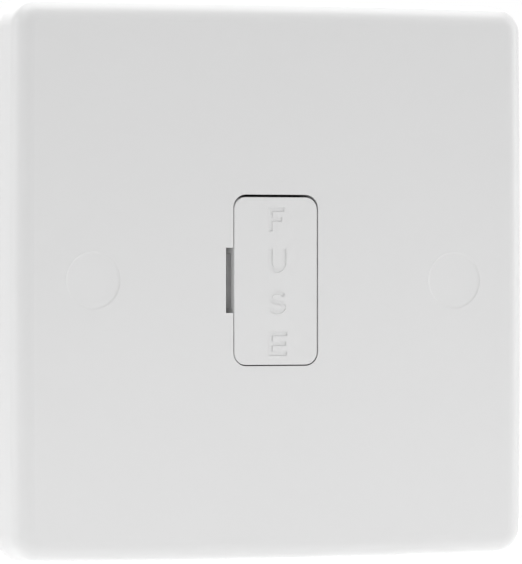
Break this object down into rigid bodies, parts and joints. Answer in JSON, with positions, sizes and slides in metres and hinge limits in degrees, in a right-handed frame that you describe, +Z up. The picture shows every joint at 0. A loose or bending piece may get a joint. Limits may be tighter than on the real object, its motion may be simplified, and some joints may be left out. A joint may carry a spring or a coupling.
{
  "type": "fused spur unit",
  "caption": "Square white wall plate with soft round edges, a central pull-out fuse carrier with a prying notch, flush screw caps and a rear housing with pillar terminals.",
  "frame": {"origin": "centre of the plate's back, on the wall plane, midway between the fixing screws", "axes": "+X right and +Z up as the plate is seen from the room; the room is at -Y and the wall box at +Y"},
  "size_m": [0.086, 0.0302, 0.086],
  "materials": {
    "white_moulding": "smooth satin-gloss white urea moulding",
    "carrier_moulding": "smooth satin-gloss white moulding",
    "cap_moulding": "smooth white moulding",
    "rear_moulding": "matt white moulding",
    "ceramic": "unglazed cream ceramic",
    "nickel_plate": "nickel-plated brass",
    "brass_strip": "bright rolled strip",
    "brass_pillar": "machined brass",
    "brass_screw": "machined brass",
    "zinc_steel": "bright zinc-plated steel"
  },
  "bodies": {
    "unit": {"front_plate": "white_moulding", "rear_housing": "rear_moulding", "housing_screws": "zinc_steel", "live_clip_load": "brass_strip", "live_clip_supply": "brass_strip", "neutral_link": "brass_strip", "earth_link": "brass_strip", "terminal_live_load": "brass_pillar", "terminal_earth_load": "brass_pillar", "terminal_neutral_load": "brass_pillar", "terminal_live_supply": "brass_pillar", "terminal_earth_supply": "brass_pillar", "terminal_neutral_supply": "brass_pillar", "fixing_screw_left": "zinc_steel", "fixing_screw_right": "zinc_steel"},
    "carrier": {"fuse_carrier": "carrier_moulding", "fuse_barrel": "ceramic", "fuse_cap_upper": "nickel_plate", "fuse_cap_lower": "nickel_plate"},
    "cap_left": {"screw_cap_left": "cap_moulding"},
    "cap_right": {"screw_cap_right": "cap_moulding"},
    "clamp_live_load": {"terminal_screw_live_load": "brass_screw"},
    "clamp_earth_load": {"terminal_screw_earth_load": "brass_screw"},
    "clamp_neutral_load": {"terminal_screw_neutral_load": "brass_screw"},
    "clamp_live_supply": {"terminal_screw_live_supply": "brass_screw"},
    "clamp_earth_supply": {"terminal_screw_earth_supply": "brass_screw"},
    "clamp_neutral_supply": {"terminal_screw_neutral_supply": "brass_screw"}
  },
  "joints": [
    {"name": "carrier_pull", "type": "slide", "parent": "unit", "child": "carrier", "axis": [0, -1, 0], "range_m": [0, 0.013]},
    {"name": "cap_left_pull", "type": "slide", "parent": "unit", "child": "cap_left", "axis": [0, -1, 0], "range_m": [0, 0.01]},
    {"name": "cap_right_pull", "type": "slide", "parent": "unit", "child": "cap_right", "axis": [0, -1, 0], "range_m": [0, 0.01]},
    {"name": "clamp_live_load_drive", "type": "slide", "parent": "unit", "child": "clamp_live_load", "axis": [0, -1, 0], "range_m": [0, 0.0026]},
    {"name": "clamp_earth_load_drive", "type": "slide", "parent": "unit", "child": "clamp_earth_load", "axis": [0, -1, 0], "range_m": [0, 0.0026]},
    {"name": "clamp_neutral_load_drive", "type": "slide", "parent": "unit", "child": "clamp_neutral_load", "axis": [0, -1, 0], "range_m": [0, 0.0026]},
    {"name": "clamp_live_supply_drive", "type": "slide", "parent": "unit", "child": "clamp_live_supply", "axis": [0, -1, 0], "range_m": [0, 0.0026]},
    {"name": "clamp_earth_supply_drive", "type": "slide", "parent": "unit", "child": "clamp_earth_supply", "axis": [0, -1, 0], "range_m": [0, 0.0026]},
    {"name": "clamp_neutral_supply_drive", "type": "slide", "parent": "unit", "child": "clamp_neutral_supply", "axis": [0, -1, 0], "range_m": [0, 0.0026]}
  ]
}
